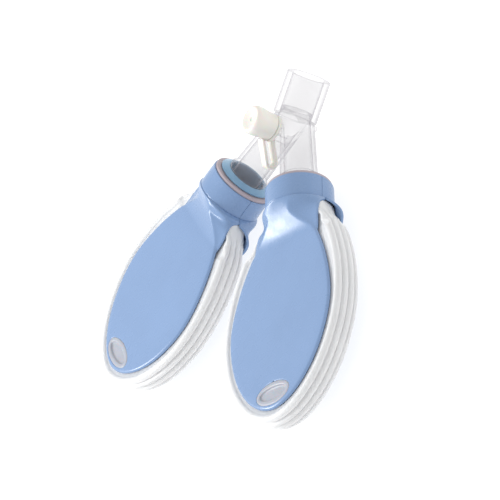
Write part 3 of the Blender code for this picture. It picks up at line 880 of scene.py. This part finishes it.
def limb_profile():
    """Outside of a limb with its hem, as (radius, distance) points."""
    high = HEM_LOW - HEM_LENGTH
    taper = mix(LIMB_R_TOP, LIMB_R_END, high / RIM_DISTANCE)
    hem = rounded(((taper, high - 0.8), (taper, high), (HEM_R, high + 0.4), (HEM_R, HEM_LOW),
                   (LIMB_R_END, HEM_LOW), (LIMB_R_END, HEM_LOW + 0.8)), 0.35, 3, closed=False)
    return [(LIMB_R_TOP, 0.0)] + hem + [(LIMB_R_END, RIM_DISTANCE), (LIMB_R_END, LIMB_END)]


def connector(material):
    """Hub, two limbs, spigot, side port and nub, bored through."""
    body = turned_tool("connector", rounded(((SPIGOT_R, -9), (SPIGOT_R, SPIGOT_TOP)), 0.3, closed=False),
                       (0, 0, 0), (0, 1, 0), phase=0.21)
    arms = turned_tool("left_arm", limb_profile(), (0, 0, 0), limb_direction(-1), phase=0.3)
    combine(arms, turned_tool("right_arm", limb_profile(), (0, 0, 0), limb_direction(1), phase=0.35), 'UNION')
    crop_size = Vector((60, 30, 40))
    crop = bmesh.new()
    bmesh.ops.create_cube(crop, size=1.0)
    bmesh.ops.transform(crop, matrix=Matrix.Diagonal((*crop_size, 1)), verts=crop.verts[:])
    shoulder = Vector((0, SHOULDER_Y + crop_size.y / 2, 0))
    place = Matrix.Translation(MM * (JUNCTION + shoulder)) @ Matrix.Scale(MM, 4)
    combine(arms, tool("crop", crop, place), 'DIFFERENCE')
    combine(body, arms, 'UNION')
    stub = rounded(((PORT_BOSS_R, 0.2), (PORT_BOSS_R, PORT_BOSS_TOP), (PORT_STUB_R, PORT_BOSS_TOP),
                    (PORT_STUB_R, PORT_STUB_TOP)), 0.3, 3, closed=False)
    combine(body, turned_tool("stub", stub, (0, PORT_Y, 0), (0, 0, 1), 48, 0.37), 'UNION')
    out = Vector((math.cos(NUB_ANGLE), 0, math.sin(NUB_ANGLE)))
    nub = [(NUB_R, 1), (NUB_R, NUB_REACH - 0.4), (NUB_R - 0.4, NUB_REACH)]
    combine(body, turned_tool("nub", nub, (0, NUB_Y, 0), out, 24, 0.33), 'UNION')
    bore = [(LIMB_BORE_TOP, 0), (LIMB_BORE_END, RIM_DISTANCE), (LIMB_BORE_END, LIMB_END + 2)]
    bores = turned_tool("left_bore", bore, (0, 0, 0), limb_direction(-1), phase=0.6)
    combine(bores, turned_tool("right_bore", bore, (0, 0, 0), limb_direction(1), phase=0.55), 'UNION')
    combine(body, bores, 'DIFFERENCE')
    throat = [(SPIGOT_BORE_R, -8.3), (SPIGOT_BORE_R, SPIGOT_TOP + 2)]
    combine(body, turned_tool("throat", throat, (0, 0, 0), (0, 1, 0), phase=0.43), 'DIFFERENCE')
    drill = [(PORT_BORE_R, 0.6), (PORT_BORE_R, PORT_STUB_TOP + 2)]
    combine(body, turned_tool("drill", drill, (0, PORT_Y, 0), (0, 0, 1), 32, 0.27), 'DIFFERENCE')
    dress(body, material, 32)
    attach(body, "y_connector")
    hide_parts("y_body")
    return body


def top_tube(material):
    """Upright tube over the hub's spigot."""
    profile = rounded(((NOZZLE_BORE_R, NOZZLE_BOTTOM), (NOZZLE_BORE_R, NOZZLE_TOP), (NOZZLE_R, NOZZLE_TOP),
                       (NOZZLE_R, NOZZLE_BOTTOM)), 0.5)
    bm = lathe(profile, RING_SEGMENTS)
    bm.transform(axis_matrix((0, 0, 0), (0, 1, 0)))
    obj = finish_mesh("top_tube", bm, material, 50.0)
    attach(obj, "y_connector")
    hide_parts("nozzle_tube")
    return obj


def cap(material):
    """Soft round cap with a shallow dish and a moulded dimple in its middle."""
    outside = spline(((CAP_WAIST_R, CAP_BASE + 0.3), (CAP_WAIST_R + 0.02, 14.5), (CAP_WAIST_R + 0.15, 17.0),
                      (CAP_R - 0.08, 19.0), (CAP_R, 20.8), (CAP_R - 0.1, 22.2), (CAP_R - 0.6, 23.3),
                      (CAP_R - 1.5, 23.93), (CAP_R - 2.4, 23.75), (3.2, 23.2), (1.9, 22.95), (1.3, 22.9),
                      (1.0, 22.6), (0.6, 22.45), (0.05, 22.4)), 5)
    profile = [(CAP_SOCKET_R, CAP_CEILING), (CAP_SOCKET_R, CAP_BASE + 0.25), (CAP_SOCKET_R + 0.25, CAP_BASE),
               (CAP_WAIST_R - 0.3, CAP_BASE)] + [tuple(p) for p in outside]
    bm = lathe(profile, 96, closed=False)
    bm.transform(axis_matrix((0, PORT_Y, 0), (0, 0, 1)))
    obj = finish_mesh("cap", bm, material, 50.0)
    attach(obj, "port_cap")
    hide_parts("port_cap")
    return obj


def strap_path():
    """Middle line of the tether in the YZ plane: down, round a bend and back up."""
    down = Vector((-math.cos(STRAP_SLOPE), -math.sin(STRAP_SLOPE)))
    across = Vector((-down.y, down.x))
    bend = STRAP_START + down * STRAP_LENGTH + across * STRAP_LOOP_R
    points = [STRAP_START + down * STRAP_LENGTH * i / 12 for i in range(12)]
    for i in range(25):
        angle = math.pi * i / 24
        points.append(bend + (down * math.sin(angle) - across * math.cos(angle)) * STRAP_LOOP_R)
    far = STRAP_START + across * 2 * STRAP_LOOP_R
    points += [far + down * (STRAP_LENGTH - (STRAP_LENGTH - 2.0) * i / 10) for i in range(1, 11)]
    return points


def tether(material):
    """Ring round the port's stub and the folded strap beside the cap."""
    low = PORT_BOSS_TOP + 0.3
    high = CAP_BASE - 0.3
    ring = ((CAP_SOCKET_R, low), (CAP_SOCKET_R, high), (TETHER_RING_R, high), (TETHER_RING_R, low))
    obj = tool("tether", lathe(rounded(ring, 0.4), 72), axis_matrix((0, PORT_Y, 0), (0, 0, 1)))
    bm = bmesh.new()
    path = strap_path()
    loops = []
    for i, point in enumerate(path):
        ahead = path[min(i + 1, len(path) - 1)] - path[max(i - 1, 0)]
        normal = Vector((-ahead.y, ahead.x)).normalized()
        loop = []
        for k in range(STRAP_COLUMNS):
            angle = math.tau * (k + 0.5) / STRAP_COLUMNS
            across = signed_power(math.cos(angle), 0.4) * STRAP_WIDTH / 2
            rise = signed_power(math.sin(angle), 0.7) * STRAP_THICKNESS / 2
            place = point + normal * rise
            loop.append(bm.verts.new((across, place.x, place.y)))
        loops.append(loop)
    bridge(bm, loops, True)
    bm.faces.new(loops[0])
    bm.faces.new(loops[-1])
    strap = tool("strap", bm, Matrix.Translation(MM * JUNCTION) @ Matrix.Scale(MM, 4))
    rooms = (
        ("cap_room", [(CAP_R + 0.25, high), (CAP_R + 0.25, CAP_TOP + 1)], 64, 0.0),
        ("stub_room", [(CAP_SOCKET_R, 0), (CAP_SOCKET_R, CAP_TOP)], 48, 0.2),
        ("boss_room", [(PORT_BOSS_R + 0.3, 0), (PORT_BOSS_R + 0.3, low)], 48, 0.3),
    )
    for name, room, segments, phase in rooms:
        cutter = turned_tool(name, room, (0, PORT_Y, 0), (0, 0, 1), segments, phase)
        combine(strap, cutter, 'DIFFERENCE')
    combine(obj, strap, 'UNION')
    dress(obj, material, 50)
    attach(obj, "y_connector")
    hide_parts("cap_tether")
    return obj


# Stage ---------------------------------------------------------------------------

VIEW_SIDE = Vector((0.548, 0.327, -0.770))
VIEW_BACK = Vector((0.833, -0.137, 0.535)).normalized()
VIEW_DISTANCE = 1.587
VIEW_AIM_SIDE = -22.56
VIEW_AIM_UP = -66.67
VIEW_WIDTH = 0.2418
KEY_DIRECTION = (-0.59, -0.46, 0.66)
KEY_DISTANCE = 1.0
KEY_SIZE = (0.42, 0.3)
KEY_POWER = 6.8
WORLD_STRENGTH = 0.92
FLOOR_GLOW = 0.82
FLOOR_HALF_SIZE = 6.0
FLOOR_DROP = 0.2


def camera():
    """Looks down at the object from its right side."""
    right = (VIEW_SIDE - VIEW_BACK * VIEW_SIDE.dot(VIEW_BACK)).normalized()
    up = VIEW_BACK.cross(right)
    data = bpy.data.cameras.new("camera")
    data.sensor_width = 36.0
    data.lens = data.sensor_width * VIEW_DISTANCE / VIEW_WIDTH
    data.clip_start = 0.05
    data.clip_end = 50.0
    obj = bpy.data.objects.new("camera", data)
    bpy.context.scene.collection.objects.link(obj)
    eye = MM * JUNCTION + VIEW_BACK * VIEW_DISTANCE
    aim = MM * (JUNCTION + right * VIEW_AIM_SIDE + up * VIEW_AIM_UP)
    back = (eye - aim).normalized()
    side = (right - back * right.dot(back)).normalized()
    turn = Matrix((side, back.cross(side), back)).transposed()
    obj.matrix_world = Matrix.Translation(eye) @ turn.to_4x4()
    bpy.context.scene.camera = obj


def key_light():
    """One large soft light, placed so that it shines back from the flares."""
    data = bpy.data.lights.new("key_light", 'AREA')
    data.shape = 'RECTANGLE'
    data.size, data.size_y = KEY_SIZE
    data.energy = KEY_POWER
    obj = bpy.data.objects.new("key_light", data)
    bpy.context.scene.collection.objects.link(obj)
    target = Vector((0, 0, 0.02))
    place = target + Vector(KEY_DIRECTION).normalized() * KEY_DISTANCE
    obj.location = place
    obj.rotation_mode = 'QUATERNION'
    obj.rotation_quaternion = (place - target).to_track_quat('Z', 'Y')


def stage():
    """Camera, light, pale world and pale floor."""
    camera()
    key_light()
    world = bpy.data.worlds.new("studio")
    world.use_nodes = True
    world.node_tree.nodes["Background"].inputs["Color"].default_value = (1, 1, 1, 1)
    world.node_tree.nodes["Background"].inputs["Strength"].default_value = WORLD_STRENGTH
    bpy.context.scene.world = world
    bm = bmesh.new()
    bmesh.ops.create_grid(bm, x_segments=4, y_segments=4, size=FLOOR_HALF_SIZE)
    floor = Look("pale_floor", (0.3, 0.3, 0.3), 0.9, Emission_Strength=FLOOR_GLOW)
    floor.shader.inputs["Emission Color"].default_value = (1, 1, 1, 1)
    floor.vary_colour(floor.noise(3.0), 0.01)
    ground = finish_mesh("floor", bm, floor.material)
    ground.location.z = -FLOOR_DROP * MM
    bpy.context.scene.view_settings.view_transform = 'Standard'


# The object ----------------------------------------------------------------------

def build():
    """All the pieces, with one material for each slot."""
    shell_material = shell_look()
    bag_material = bag_look()
    seal_material = seal_look()
    adapter_material = adapter_look()
    stud_painted_shade_material = stud_painted_shade_look()
    clear_material = clear_look()
    cap_material = cap_look()
    for word, side in SIDES:
        for face, facing in FACES:
            shell(word, side, face, facing, shell_material)
            bag_half(word, side, face, facing, bag_material)
            stud(word, side, face, facing, stud_painted_shade_material)
        seal(word, side, seal_material)
        adapter(word, side, adapter_material)
    connector(clear_material)
    top_tube(clear_material)
    cap(cap_material)
    tether(cap_material)


stage()
build()
bpy.context.view_layer.update()
